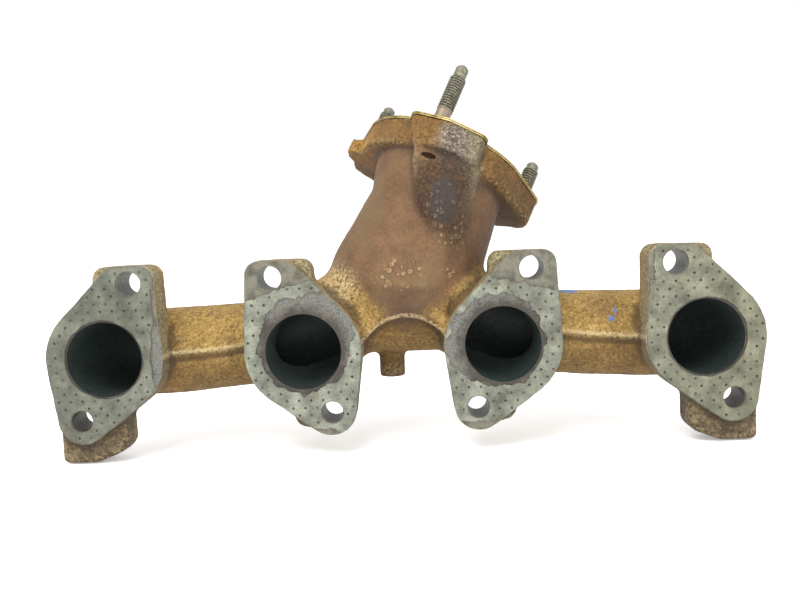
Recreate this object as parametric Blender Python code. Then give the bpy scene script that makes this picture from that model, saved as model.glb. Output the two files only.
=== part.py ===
"""Four-port cast exhaust manifold with its outlet studs and the gaskets left on its faces.

Frame: X runs along the row of ports, -Y looks out of the port faces, +Z points up towards the
outlet. The origin is under the middle of the part's box, at the level of its lowest lugs.
"""

import math

import bmesh
import bpy
from mathutils import Matrix, Vector

MM = 0.001
FIT = 0.3                        # clearance kept between pieces that touch

# Port row. Distances here and below are in millimetres, measured from the middle of the row
# at the height of the port centres, on the plane of the machined port faces.
PORT_PITCH = 88.0
PORT_X = [PORT_PITCH * (index - 1.5) for index in range(4)]
PORT_SIDE = [1, -1, 1, -1]       # side of the port that its upper ear leans to
PORT_RADIUS = 16.7
PORT_FLANGE_DEPTH = 16.5
EAR_HOLE = (13.1, 33.0)
EAR_HOLE_RADIUS = 5.3
TOE_HOLE = (-11.8, -27.2)
TOE_HOLE_RADIUS = 4.7
PORT_GASKET_DEPTH = 0.8

# Runners and collector
RUNNER_Y = 33.0
RUNNER_RADII = [20.5, 20.5, 20.5, 20.4, 19.4, 19.8, 21.0, 21.0]
RUNNER_BORES = [PORT_RADIUS, PORT_RADIUS, 16.6, 16.2, 15.2, 15.4, 16.5, 16.5]
INNER_RADII = [20.5, 20.5, 20.3, 20.3, 21.0]
INNER_BORES = [PORT_RADIUS, PORT_RADIUS, 16.2, 16.0, 16.5]
NECK_RADIUS = 30.1
NECK_SHIFT = 2.2                 # how far the neck stands right of the middle of the studs
PEG_FOOT = Vector((-6.0, 31.0, -17.5))
PEG_RADIUS = 6.2

# Outlet: centre of the sealing face, and the way it faces
OUTLET_CENTRE = Vector((22.2, 41.5, 85.1))
OUTLET_LEAN = math.radians(25.6)
OUTLET_TILT = math.radians(17.3)
OUTLET_SPIN = math.radians(-14.0)
OUTLET_DEPTH = 12.5
OUTLET_BORE_RADIUS = 25.0
OUTLET_GASKET_DEPTH = 1.2
STUD_RADIUS = 3.75
# Each stud's place to the right and to the front of the outlet's middle, and its standing height
STUDS = {"outlet_stud_front": (0.0, 31.0, 31.0),
         "outlet_stud_left": (-39.3, -15.9, 22.4),
         "outlet_stud_right": (39.3, -15.9, 17.6)}
DOG_RADIUS = 2.75
DOG_LENGTH = 7.0

SIDES = 32                       # facets round a large circle


# ------------------------------------------------------------------ outlines

def hull(points):
    """Convex outline round 2D points, counter-clockwise."""
    points = sorted(set(points))

    def half(ordered):
        chain = []
        for p in ordered:
            while len(chain) > 1:
                (ax, ay), (bx, by) = chain[-2], chain[-1]
                if (bx - ax) * (p[1] - ay) - (by - ay) * (p[0] - ax) > 1e-7:
                    break
                chain.pop()
            chain.append(p)
        return chain[:-1]

    return half(points) + half(points[::-1])


def disc_hull(discs, sides=SIDES):
    """Outline of a band stretched round discs, each (x, y, radius)."""
    points = []
    for x, y, radius in discs:
        for index in range(sides):
            angle = 2 * math.pi * (index + 0.5) / sides
            points.append((round(x + radius * math.cos(angle), 4),
                           round(y + radius * math.sin(angle), 4)))
    return hull(points)


def reach(outline, angle):
    """How far a ray from the middle goes before it leaves a convex outline."""
    dx, dy = math.cos(angle), math.sin(angle)
    best = float("inf")
    for (ax, ay), (bx, by) in zip(outline, outline[1:] + outline[:1]):
        nx, ny = by - ay, ax - bx
        slope = nx * dx + ny * dy
        if slope > 1e-9:
            best = min(best, (nx * ax + ny * ay) / slope)
    return best


def merged(outlines, count=96):
    """One outline round several that all hold the middle."""
    points = []
    for index in range(count):
        angle = 2 * math.pi * index / count
        radius = max(reach(outline, angle) for outline in outlines)
        points.append((radius * math.cos(angle), radius * math.sin(angle)))
    return points


def port_outline(grow=0.0):
    """Diamond port flange: a band round the port, its square-topped ear and its round toe."""
    return disc_hull([(0.0, 0.0, 25.9 + grow), (-11.4, -26.6, 11.0 + grow),
                      (18.3, 35.0, 5.6 + grow), (6.2, 36.6, 4.0 + grow)])


def outlet_outline(inset=0.0, tuck=0.0):
    """Plate round the outlet: a disc, two rear ears and the square ear of the front stud, whose
    left side can be tucked in."""
    plate = disc_hull([(0.5, -8.0, 39.5 - inset), (35.4, -19.5, 11.5 - inset),
                       (-35.5, -18.5, 10.2 - inset)], 48)
    front = disc_hull([(0.0, 0.0, 10.0), (tuck - 7.4, 31.6, 5.0 - inset),
                       (17.6, 29.4, 5.0 - inset), (5.5, 31.6, 7.0 - inset)], 24)
    return merged([plate, front])


# ------------------------------------------------------------------ frames and solids

def outlet_axes():
    """Right, front and up directions of the sealing face."""
    up = Vector((math.sin(OUTLET_LEAN) * math.cos(OUTLET_TILT), math.sin(OUTLET_TILT),
                 math.cos(OUTLET_LEAN) * math.cos(OUTLET_TILT)))
    front = Vector((0.0, -1.0, 0.0))
    front = (front - up * front.dot(up)).normalized()
    right = up.cross(front)
    cos, sin = math.cos(OUTLET_SPIN), math.sin(OUTLET_SPIN)
    return right * cos - front * sin, front * cos + right * sin, up


RIGHT, FRONT, UP = outlet_axes()


def on_outlet(a, b, height):
    """Point of the outlet's own frame: a to the right, b to the front, height above the face."""
    return OUTLET_CENTRE + RIGHT * a + FRONT * b + UP * height


def placed(name, mesh):
    """Object made of a bmesh, with its faces turned outwards."""
    bmesh.ops.recalc_face_normals(mesh, faces=mesh.faces)
    data = bpy.data.meshes.new(name)
    mesh.to_mesh(data)
    mesh.free()
    thing = bpy.data.objects.new(name, data)
    bpy.context.scene.collection.objects.link(thing)
    return thing


def solid(name, rings):
    """Closed solid through rings of points that all have the same count."""
    mesh = bmesh.new()
    loops = [[mesh.verts.new(point) for point in ring] for ring in rings]
    for lower, upper in zip(loops, loops[1:]):
        for index in range(len(lower)):
            after = (index + 1) % len(lower)
            mesh.faces.new((lower[index], lower[after], upper[after], upper[index]))
    mesh.faces.new(loops[0][::-1])
    mesh.faces.new(loops[-1])
    return placed(name, mesh)


def port_prism(name, outline, port, near, far):
    """Outline in the plane of a port, turned to that port's hand, between two depths."""
    side = PORT_SIDE[port]
    return solid(name, [[Vector((PORT_X[port] + side * u, depth, z)) for u, z in outline]
                        for depth in (near, far)])


def outlet_prism(name, outline, low, high):
    return solid(name, [[on_outlet(a, b, height) for a, b in outline] for height in (low, high)])


def circle(centre, axis, radius, sides=SIDES):
    """Ring of points round a centre, square to an axis."""
    axis = axis.normalized()
    helper = Vector((0, 1, 0)) if abs(axis.y) < 0.8 else Vector((0, 0, 1))
    first = axis.cross(helper).normalized()
    second = axis.cross(first)
    points = []
    for index in range(sides):
        angle = 2 * math.pi * index / sides
        points.append(centre + (first * math.cos(angle) + second * math.sin(angle)) * radius)
    return points


def rod(name, start, end, radius, sides=SIDES):
    axis = end - start
    return solid(name, [circle(start, axis, radius, sides), circle(end, axis, radius, sides)])


def pipe(name, path, radii, sides=SIDES):
    """Round tube along a smooth curve through the path's points."""
    centres = []
    widths = []
    last = len(path) - 1
    for index in range(last):
        before, start = path[max(index - 1, 0)], path[index]
        end, after = path[index + 1], path[min(index + 2, last)]
        for step in range(4):
            t = step / 4
            centres.append(0.5 * (2 * start + (end - before) * t
                                  + (2 * before - 5 * start + 4 * end - after) * t * t
                                  + (3 * start - before - 3 * end + after) * t ** 3))
            widths.append(radii[index] + (radii[index + 1] - radii[index]) * t)
    centres.append(path[-1])
    widths.append(radii[-1])
    rings = []
    for index, centre in enumerate(centres):
        axis = centres[min(index + 1, len(centres) - 1)] - centres[max(index - 1, 0)]
        rings.append((centre, axis.normalized(), widths[index]))
    first = rings[0][1].orthogonal().normalized()
    loops = []
    for centre, axis, width in rings:
        first = (first - axis * first.dot(axis)).normalized()
        second = axis.cross(first)
        loops.append([centre + (first * math.cos(angle) + second * math.sin(angle)) * width
                      for angle in (2 * math.pi * k / sides for k in range(sides))])
    return solid(name, loops)


def wedge(name, points):
    """Smallest convex solid round a set of points."""
    mesh = bmesh.new()
    for point in points:
        mesh.verts.new(point)
    result = bmesh.ops.convex_hull(mesh, input=mesh.verts)
    spare = [item for item in result["geom_interior"] if isinstance(item, bmesh.types.BMVert)]
    bmesh.ops.delete(mesh, geom=spare, context="VERTS")
    return placed(name, mesh)


def combine(body, tools, operation):
    """Run exact Booleans on body with each tool, keep the result in body, drop the tools."""
    for tool in tools:
        cut = body.modifiers.new(operation, "BOOLEAN")
        cut.operation = operation
        cut.solver = "EXACT"
        cut.object = tool
        graph = bpy.context.evaluated_depsgraph_get()
        data = bpy.data.meshes.new_from_object(body.evaluated_get(graph))
        body.modifiers.clear()
        body.data = data
        bpy.data.objects.remove(tool)
    return body


# ------------------------------------------------------------------ the casting

def runner_path(side, early=0.0):
    """Outer runner: in at the end port, round its elbow and along to the collector."""
    end = 1.5 * PORT_PITCH
    points = [(end, 6.0 - early, 0.0), (end - 1.0, 18.0, -0.3), (end - 8.5, 29.0, -0.9),
              (end - 25.0, RUNNER_Y, -1.4), (62.0, RUNNER_Y + 0.5, 1.2), (42.0, RUNNER_Y + 1.5, 6.0),
              (22.0, RUNNER_Y + 3.0, 16.0), (6.0, RUNNER_Y + 6.0, 26.0)]
    return [Vector((side * x, y, z)) for x, y, z in points]


def inner_path(side, early=0.0):
    """Short inner runner: in at a middle port and up into the collector."""
    half = 0.5 * PORT_PITCH
    points = [(half, 6.0 - early, 0.0), (half - 1.5, 17.0, 1.0), (half - 8.0, 26.0, 5.0),
              (24.0, RUNNER_Y - 1.0, 14.0), (6.0, RUNNER_Y + 3.0, 26.0)]
    return [Vector((side * x, y, z)) for x, y, z in points]


def neck(name, thin, floor, top):
    """Neck from the collector up to the outlet plate, widest where the runners come in."""
    path = [Vector((0.0, 35.0, floor)), Vector((1.0, 36.0, 25.0)), Vector((7.9, 37.0, 41.4)),
            Vector((16.4, 37.5, 60.8)), on_outlet(NECK_SHIFT, 0.0, top - 8.0),
            on_outlet(NECK_SHIFT, 0.0, top)]
    radii = (25.0, 36.5, 32.9, NECK_RADIUS, NECK_RADIUS, NECK_RADIUS)
    return pipe(name, path, [radius - thin for radius in radii])


def casting_outside():
    body = pipe("manifold_casting", runner_path(-1), RUNNER_RADII)
    tools = [pipe("runner", runner_path(1), RUNNER_RADII)]
    for side in (-1, 1):
        tools.append(pipe("inner runner", inner_path(side), INNER_RADII))
    tools.append(neck("neck", 0.0, 11.0, -4.0))
    belly = [Vector((x, 30.0, 12.2)) for x in (-26.0, 22.0)]
    tools.append(rod("belly", belly[0], belly[1], 18.0))
    for port in range(4):
        tools.append(port_prism("flange", port_outline(), port, 0.0, PORT_FLANGE_DEPTH))
        pad = disc_hull([(0.0, 17.0, 5.0), (0.0, 35.6, 5.0), (19.0, 17.0, 5.2), (19.0, 35.6, 5.2)], 16)
        tools.append(port_prism("nut pad", pad, port, 5.0, PORT_FLANGE_DEPTH + 0.8))
        if port in (0, 3):
            lug = disc_hull([(-20.0, -18.0, 3.0), (-19.6, -44.0, 3.0), (-0.4, -36.0, 8.0),
                             (-0.4, -18.0, 8.0), (-8.0, -44.0, 3.0)], 16)
        else:
            lug = disc_hull([(-17.5, -22.0, 4.0), (-15.0, -31.5, 5.0), (0.0, -28.5, 5.5),
                             (0.0, -18.0, 4.0)], 16)
        tools.append(port_prism("toe lug", lug, port, 2.0, PORT_FLANGE_DEPTH + 0.8))
    tools.append(outlet_plate())
    side_lug = disc_hull([(-45.5, -10.0, 1.5), (-45.0, -3.5, 1.5), (-36.0, -2.0, 4.0),
                          (-36.0, -16.0, 4.0)], 16)
    tools.append(outlet_prism("side lug", side_lug, -OUTLET_DEPTH + 0.5, -4.0))
    tools.append(gusset())
    tools.append(rod("peg", PEG_FOOT, PEG_FOOT + Vector((0.0, 0.0, 26.0)), PEG_RADIUS, 20))
    return combine(body, tools, "UNION")


def outlet_plate():
    """Plate under the sealing face. The left side of its front ear stands upright."""
    lower = outlet_outline(tuck=4.5)
    return solid("outlet plate", [[on_outlet(a, b, -OUTLET_DEPTH) for a, b in lower],
                                  [on_outlet(a, b, 0.0) for a, b in outlet_outline()]])


def gusset():
    """Web from under the front ear down to the front of the neck."""
    corners = ((-6.0, 35.5, -11.0), (21.0, 33.0, -11.0), (-6.0, 15.0, -11.0), (21.0, 15.0, -11.0),
               (-3.8, 34.2, -21.1), (18.9, 31.3, -16.0), (24.5, 25.3, -15.0), (3.9, 29.3, -33.4),
               (25.0, 21.4, -26.6), (13.5, 20.4, -45.3), (24.4, 15.7, -41.5), (10.0, 10.0, -48.0))
    return wedge("gusset", [on_outlet(*corner) for corner in corners])


def casting_inside():
    """Everything that gas flows through, as one tool."""
    body = pipe("passage", runner_path(-1, 10.0), RUNNER_BORES, 24)
    tools = [pipe("passage", runner_path(1, 10.0), RUNNER_BORES, 24)]
    for side in (-1, 1):
        tools.append(pipe("passage", inner_path(side, 10.0), INNER_BORES, 24))
    tools.append(neck("throat", NECK_RADIUS - OUTLET_BORE_RADIUS, 16.0, 5.3))
    return combine(body, tools, "UNION")


def bolt_holes():
    tools = []
    for port in range(4):
        for (u, z), radius in ((EAR_HOLE, EAR_HOLE_RADIUS), (TOE_HOLE, TOE_HOLE_RADIUS)):
            x = PORT_X[port] + PORT_SIDE[port] * u
            tools.append(rod("bolt hole", Vector((x, -3.0, z)), Vector((x, 26.0, z)), radius, 20))
    for a, b, _ in STUDS.values():
        tools.append(rod("stud hole", on_outlet(a, b, -OUTLET_DEPTH + 0.6), on_outlet(a, b, 3.0),
                         STUD_RADIUS + FIT, 16))
    return tools


def casting():
    body = casting_outside()
    combine(body, [casting_inside()], "DIFFERENCE")
    combine(body, bolt_holes(), "DIFFERENCE")
    return body


# ------------------------------------------------------------------ studs and gaskets

def stud(name, a, b, length):
    """Stud with a threaded shank and a dog point, screwed into the outlet plate."""
    thread_end = length - DOG_LENGTH
    profile = [(-OUTLET_DEPTH + 1.0, STUD_RADIUS - 0.8), (-OUTLET_DEPTH + 1.8, STUD_RADIUS),
               (thread_end - 1.0, STUD_RADIUS), (thread_end, DOG_RADIUS + 0.2),
               (length - 1.0, DOG_RADIUS), (length, DOG_RADIUS - 1.0)]
    return solid(name, [circle(on_outlet(a, b, height), UP, radius, 20)
                        for height, radius in profile])


def outlet_gasket():
    low = FIT
    high = FIT + OUTLET_GASKET_DEPTH
    sheet = outlet_prism("outlet_gasket", outlet_outline(inset=0.8), low, high)
    tools = [rod("hole", on_outlet(NECK_SHIFT, 0.0, -4.0), on_outlet(NECK_SHIFT, 0.0, 6.0),
                 OUTLET_BORE_RADIUS + 1.0, 48)]
    for a, b, _ in STUDS.values():
        tools.append(rod("hole", on_outlet(a, b, -4.0), on_outlet(a, b, 6.0), STUD_RADIUS + 0.5, 16))
    return combine(sheet, tools, "DIFFERENCE")


def port_gasket(port):
    name = f"port_gasket_{port + 1}"
    sheet = port_prism(name, port_outline(-0.5), port, -FIT - PORT_GASKET_DEPTH, -FIT)
    x = PORT_X[port]
    tools = [rod("hole", Vector((x, -6.0, 0.0)), Vector((x, 6.0, 0.0)), PORT_RADIUS + 0.8, 48)]
    for (u, z), radius in ((EAR_HOLE, EAR_HOLE_RADIUS), (TOE_HOLE, TOE_HOLE_RADIUS)):
        place = x + PORT_SIDE[port] * u
        tools.append(rod("hole", Vector((place, -6.0, z)), Vector((place, 6.0, z)),
                         radius + 0.5, 20))
    return combine(sheet, tools, "DIFFERENCE")


# ------------------------------------------------------------------ materials and assembly

def paint(thing, name, colour, roughness, metallic):
    material = bpy.data.materials.get(name) or bpy.data.materials.new(name)
    material.use_nodes = True
    shader = material.node_tree.nodes["Principled BSDF"]
    shader.inputs["Base Color"].default_value = (*colour, 1.0)
    shader.inputs["Roughness"].default_value = roughness
    shader.inputs["Metallic"].default_value = metallic
    thing.data.materials.clear()
    thing.data.materials.append(material)
    for polygon in thing.data.polygons:
        polygon.material_index = 0


def stand_on_ground(things):
    """Scale millimetres to metres, with the origin under the middle of the whole box."""
    corners = [vertex.co for thing in things for vertex in thing.data.vertices]
    low = Vector([min(corner[axis] for corner in corners) for axis in range(3)])
    high = Vector([max(corner[axis] for corner in corners) for axis in range(3)])
    foot = Vector(((low.x + high.x) / 2, (low.y + high.y) / 2, low.z))
    place = Matrix.Scale(MM, 4) @ Matrix.Translation(-foot)
    for thing in things:
        thing.data.transform(place)
        thing.data.shade_smooth()
        thing.data.set_sharp_from_angle(angle=math.radians(35))


def main():
    for thing in list(bpy.data.objects):
        bpy.data.objects.remove(thing)
    body = casting()
    paint(body, "rusty cast iron", (0.30, 0.17, 0.06), 0.85, 0.2)
    things = [body]
    for name, place in STUDS.items():
        things.append(stud(name, *place))
        paint(things[-1], "stud steel", (0.27, 0.25, 0.17), 0.5, 0.8)
    things.append(outlet_gasket())
    paint(things[-1], "outlet gasket metal", (0.36, 0.28, 0.10), 0.45, 0.7)
    for port in range(4):
        things.append(port_gasket(port))
        paint(things[-1], "port gasket sheet", (0.30, 0.32, 0.26), 0.8, 0.1)
    stand_on_ground(things)


main()
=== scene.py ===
"""Finished looks of a four-port cast exhaust manifold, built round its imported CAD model.

Every piece is shaped in millimetres, measured from the middle of the port row at the height of the
port centres on the plane of the machined port faces, with X along the row, -Y out of the ports and
+Z towards the outlet. It is then moved to the row frame, in metres, with its place in its mesh.
"""

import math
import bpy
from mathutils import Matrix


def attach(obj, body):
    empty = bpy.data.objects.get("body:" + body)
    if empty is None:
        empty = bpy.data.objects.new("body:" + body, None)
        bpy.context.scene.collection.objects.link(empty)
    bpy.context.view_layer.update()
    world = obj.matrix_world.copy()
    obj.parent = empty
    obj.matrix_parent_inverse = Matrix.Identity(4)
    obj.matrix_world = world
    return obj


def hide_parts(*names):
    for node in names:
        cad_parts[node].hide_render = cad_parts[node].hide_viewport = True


bl_info = {
    "name": "Exhaust manifold",
    "version": (1, 0, 0),
    "blender": (4, 5, 0),
    "location": "3D View > Sidebar > Manifold",
    "description": "Builds the finished casting, studs and gaskets of a cast exhaust manifold",
    "category": "Object",
}

import bmesh
import bpy
import numpy as np
from mathutils import Matrix, Vector, noise
from mathutils.bvhtree import BVHTree

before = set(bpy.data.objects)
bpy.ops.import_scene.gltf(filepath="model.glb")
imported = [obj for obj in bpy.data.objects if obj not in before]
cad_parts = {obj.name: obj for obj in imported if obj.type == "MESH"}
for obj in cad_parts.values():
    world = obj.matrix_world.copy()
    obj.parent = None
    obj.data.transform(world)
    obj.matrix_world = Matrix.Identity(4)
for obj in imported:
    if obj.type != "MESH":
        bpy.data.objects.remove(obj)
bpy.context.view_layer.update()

MM = 0.001
FLOOR_POINT = Vector((0.0, 42.6655, -46.9424))   # the row frame's origin, in millimetres
TO_ROW_FRAME = Matrix.Scale(MM, 4) @ Matrix.Translation(-FLOOR_POINT)

# Port row
PORT_PITCH = 88.0
PORT_X = [PORT_PITCH * (index - 1.5) for index in range(4)]
PORT_SIDE = [1, -1, 1, -1]       # side of the port that its upper ear leans to
PORT_RADIUS = 16.7
EAR_HOLE = (13.1, 33.0, 5.3)     # place from the port's middle, and radius
TOE_HOLE = (-11.8, -27.2, 4.7)

# Passages, from the port to the collector, for the side where X is positive
OUTER_PASSAGE = [(132.0, 6.0, 0.0), (131.0, 18.0, -0.3), (123.5, 29.0, -0.9), (107.0, 33.0, -1.4),
                 (62.0, 33.5, 1.2), (42.0, 34.5, 6.0), (22.0, 36.0, 16.0), (6.0, 39.0, 26.0)]
OUTER_BORES = [PORT_RADIUS, PORT_RADIUS, 16.6, 16.2, 15.2, 15.4, 16.5, 16.5]
INNER_PASSAGE = [(44.0, 6.0, 0.0), (42.5, 17.0, 1.0), (36.0, 26.0, 5.0), (24.0, 32.0, 14.0),
                 (6.0, 36.0, 26.0)]
INNER_BORES = [PORT_RADIUS, PORT_RADIUS, 16.2, 16.0, 16.5]

# Outlet: centre of the sealing face, and the way it faces
OUTLET_CENTRE = Vector((22.2, 41.5, 85.1))
OUTLET_LEAN = math.radians(25.6)
OUTLET_TILT = math.radians(17.3)
OUTLET_SPIN = math.radians(-14.0)
OUTLET_DEPTH = 12.5
OUTLET_BORE_RADIUS = 25.0
NECK_SHIFT = 2.2                 # how far the neck stands right of the middle of the studs
THROAT_RADII = (19.9, 31.4, 27.8, OUTLET_BORE_RADIUS, OUTLET_BORE_RADIUS, OUTLET_BORE_RADIUS)
STUD_RADIUS = 3.75
# Each stud's place to the right and to the front of the outlet's middle, its standing height, how
# much plain shank shows above the face, and the length of its dog point
STUDS = {"outlet_stud_front": (0.0, 31.0, 31.0, 8.0, 6.2),
         "outlet_stud_left": (-39.3, -15.9, 22.4, 3.0, 3.6),
         "outlet_stud_right": (39.3, -15.9, 17.6, 3.0, 3.6)}

# Arched lip between the middle ports: its crown, and how fast it drops to either side
LIP_MIDDLE = 1.2
LIP_TOP = 12.9
LIP_CURVE = 0.0285

# The mould's parting line along each outer runner, as (x, z) points, and its ridge
PARTING_LINES = ([(-112, -0.4), (-102, 0.3), (-92.8, 0.6), (-84.6, 0.9), (-75.3, 2.6), (-62, 4.0)],
                 [(62, 4.0), (73.6, 2.9), (83, 1.6), (89.7, 0.9), (95.9, 0.4), (102, -0.4),
                  (112, -0.6)])
RIDGE_RADIUS = 2.5
RIDGE_SINK = 0.5

# Lamp powers in watts, and the camera in metres and degrees
KEY_POWER = 14.0
FILL_POWER = 4.0
CAMERA_PLACE = (0.007969, -0.411034, 0.102417)
CAMERA_YAW = -1.30282
CAMERA_PITCH = 5.30532
CAMERA_ROLL = 2.43137


# ------------------------------------------------------------------ settings

class CastingSettings(bpy.types.PropertyGroup):
    grain: bpy.props.FloatProperty(
        name="Mesh grain", description="Size of the cells that the cast skin is meshed with",
        default=1.15e-3, min=0.8e-3, max=4e-3, precision=5, unit="LENGTH")
    soften: bpy.props.IntProperty(
        name="Softening", description="Passes that round the cast edges and fill the corners",
        default=7, min=0, max=20)
    blend: bpy.props.IntProperty(
        name="Blending", description="More passes where the neck runs out into the runners",
        default=45, min=0, max=100)
    wave: bpy.props.FloatProperty(
        name="Waviness", description="Height of the slow unevenness of the cast skin",
        default=0.45e-3, precision=5, unit="LENGTH")
    rust: bpy.props.FloatVectorProperty(
        name="Rust", description="Golden rust on the runners", subtype="COLOR",
        default=(0.36, 0.225, 0.06), min=0.0, max=1.0)
    heat: bpy.props.FloatVectorProperty(
        name="Heat scale", description="Brown scale on the hot neck", subtype="COLOR",
        default=(0.136, 0.068, 0.026), min=0.0, max=1.0)


class GasketSettings(bpy.types.PropertyGroup):
    thickness: bpy.props.FloatProperty(
        name="Thickness", description="Thickness of a port gasket", default=0.75e-3,
        precision=5, unit="LENGTH")
    pitch: bpy.props.FloatProperty(
        name="Perforation pitch", description="Distance between perforations in a row",
        default=5.3e-3, precision=5, unit="LENGTH")
    row: bpy.props.FloatProperty(
        name="Row pitch", description="Distance between rows of perforations", default=3.3e-3,
        precision=5, unit="LENGTH")
    hole: bpy.props.FloatProperty(
        name="Perforation radius", description="Radius of one perforation", default=0.62e-3,
        precision=5, unit="LENGTH")
    facing: bpy.props.FloatVectorProperty(
        name="Facing", description="Grey-green facing of the port gaskets", subtype="COLOR",
        default=(0.20, 0.21, 0.155), min=0.0, max=1.0)


class StudSettings(bpy.types.PropertyGroup):
    pitch: bpy.props.FloatProperty(
        name="Thread pitch", description="Distance between two threads of an outlet stud",
        default=1.25e-3, precision=5, unit="LENGTH")
    depth: bpy.props.FloatProperty(
        name="Thread depth", description="Depth of the thread", default=0.55e-3,
        precision=5, unit="LENGTH")


class StageSettings(bpy.types.PropertyGroup):
    lens: bpy.props.FloatProperty(
        name="Lens", description="Focal length of the camera on a 36 mm sensor", default=38.25)
    light: bpy.props.FloatProperty(
        name="Light", description="Strength of the large soft light", default=1.0, min=0.0)


class ManifoldSettings(bpy.types.PropertyGroup):
    casting: bpy.props.PointerProperty(type=CastingSettings)
    gaskets: bpy.props.PointerProperty(type=GasketSettings)
    studs: bpy.props.PointerProperty(type=StudSettings)
    stage: bpy.props.PointerProperty(type=StageSettings)


# ------------------------------------------------------------------ node trees written as sums

class Wire:
    """Output of a node. Arithmetic on it adds Math nodes to its tree."""

    def __init__(self, graph, socket):
        self.graph = graph
        self.socket = socket

    def calc(self, operation, *others):
        return self.graph.add("ShaderNodeMath", [self, *others], operation=operation)

    def __add__(self, other):
        return self.calc("ADD", other)

    def __sub__(self, other):
        return self.calc("SUBTRACT", other)

    def __rsub__(self, other):
        return self.graph.add("ShaderNodeMath", [other, self], operation="SUBTRACT")

    def __mul__(self, other):
        return self.calc("MULTIPLY", other)

    def __truediv__(self, other):
        return self.calc("DIVIDE", other)

    def __gt__(self, other):
        return self.calc("GREATER_THAN", other)

    def __lt__(self, other):
        return self.calc("LESS_THAN", other)

    __radd__ = __add__
    __rmul__ = __mul__


class Graph:
    """Node tree that is being written."""

    def __init__(self, tree):
        self.tree = tree

    def add(self, kind, values=(), out=0, stops=None, **settings):
        """Add a node, set it up, feed its inputs by order or by name, and return one output."""
        node = self.tree.nodes.new(kind)
        for key, value in settings.items():
            setattr(node, key, value)
        if stops:
            elements = node.color_ramp.elements
            elements.remove(elements[-1])
            elements[0].position = stops[0][0]
            elements[0].color = (*stops[0][1], 1.0)
            for position, colour in stops[1:]:
                elements.new(position).color = (*colour, 1.0)
        for key, value in values.items() if isinstance(values, dict) else enumerate(values):
            self.feed(node.inputs[key], value)
        return Wire(self, node.outputs[out]) if node.outputs else None

    def feed(self, socket, value):
        if isinstance(value, Wire):
            self.tree.links.new(value.socket, socket)
        elif value is not None:
            if socket.type == "RGBA" and len(value) == 3:
                value = (*value, 1.0)
            socket.default_value = value

    def vector(self, operation, *values, out=0):
        return self.add("ShaderNodeVectorMath", values, out=out, operation=operation)

    def axes(self, vector):
        node = self.add("ShaderNodeSeparateXYZ", [vector]).socket.node
        return [Wire(self, output) for output in node.outputs]

    def rise(self, value, low, high):
        """Smooth step from 0 at low to 1 at high."""
        return self.add("ShaderNodeMapRange", {"Value": value, "From Min": low, "From Max": high},
                        interpolation_type="SMOOTHSTEP")

    def noise(self, place, scale, detail=2.0, roughness=0.5):
        return self.add("ShaderNodeTexNoise", {"Vector": place, "Scale": scale, "Detail": detail,
                                               "Roughness": roughness})


class Finish(Graph):
    """Material whose pattern is laid out in millimetres over the piece."""

    def __init__(self, name, **constants):
        material = bpy.data.materials.new(name)
        material.use_nodes = True
        super().__init__(material.node_tree)
        self.material = material
        self.shader = material.node_tree.nodes["Principled BSDF"]
        for key, value in constants.items():
            self.feed(self.shader.inputs[key.replace("_", " ").title()], value)
        place = self.add("ShaderNodeTexCoord", out="Object")
        self.place = self.vector("MULTIPLY_ADD", place, (1 / MM,) * 3, tuple(FLOOR_POINT))
        self.x, self.y, self.z = self.axes(self.place)
        normal = self.add("ShaderNodeNewGeometry", out="Normal")
        _, self.facing_y, self.facing_z = self.axes(normal)

    def grain(self, scale, detail=2.0, roughness=0.5):
        return self.noise(self.place, scale, detail, roughness)

    def mix(self, amount, first, second, blend="MIX"):
        return self.add("ShaderNodeMix", {0: amount, 6: first, 7: second}, out=2,
                        data_type="RGBA", blend_type=blend)

    def ramp(self, value, *stops):
        return self.add("ShaderNodeValToRGB", [value], stops=stops)

    def near(self, centre, radii, soft=0.35):
        """1 inside an ellipsoid round a point, falling to 0 just outside it."""
        offset = self.vector("SUBTRACT", self.place, tuple(centre))
        distance = self.vector("LENGTH", self.vector("DIVIDE", offset, tuple(radii)), out=1)
        return 1 - self.rise(distance, 1 - soft, 1 + soft)

    def paint(self, colour, roughness=None, metallic=None, height=None, strength=1.0):
        """Feed the shader; height is in millimetres."""
        self.feed(self.shader.inputs["Base Color"], colour)
        if roughness is not None:
            self.feed(self.shader.inputs["Roughness"], roughness)
        if metallic is not None:
            self.feed(self.shader.inputs["Metallic"], metallic)
        if height is not None:
            bump = self.add("ShaderNodeBump", {"Height": height, "Distance": MM,
                                               "Strength": strength})
            self.feed(self.shader.inputs["Normal"], bump)
        return self.material


# ------------------------------------------------------------------ finishes

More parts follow.
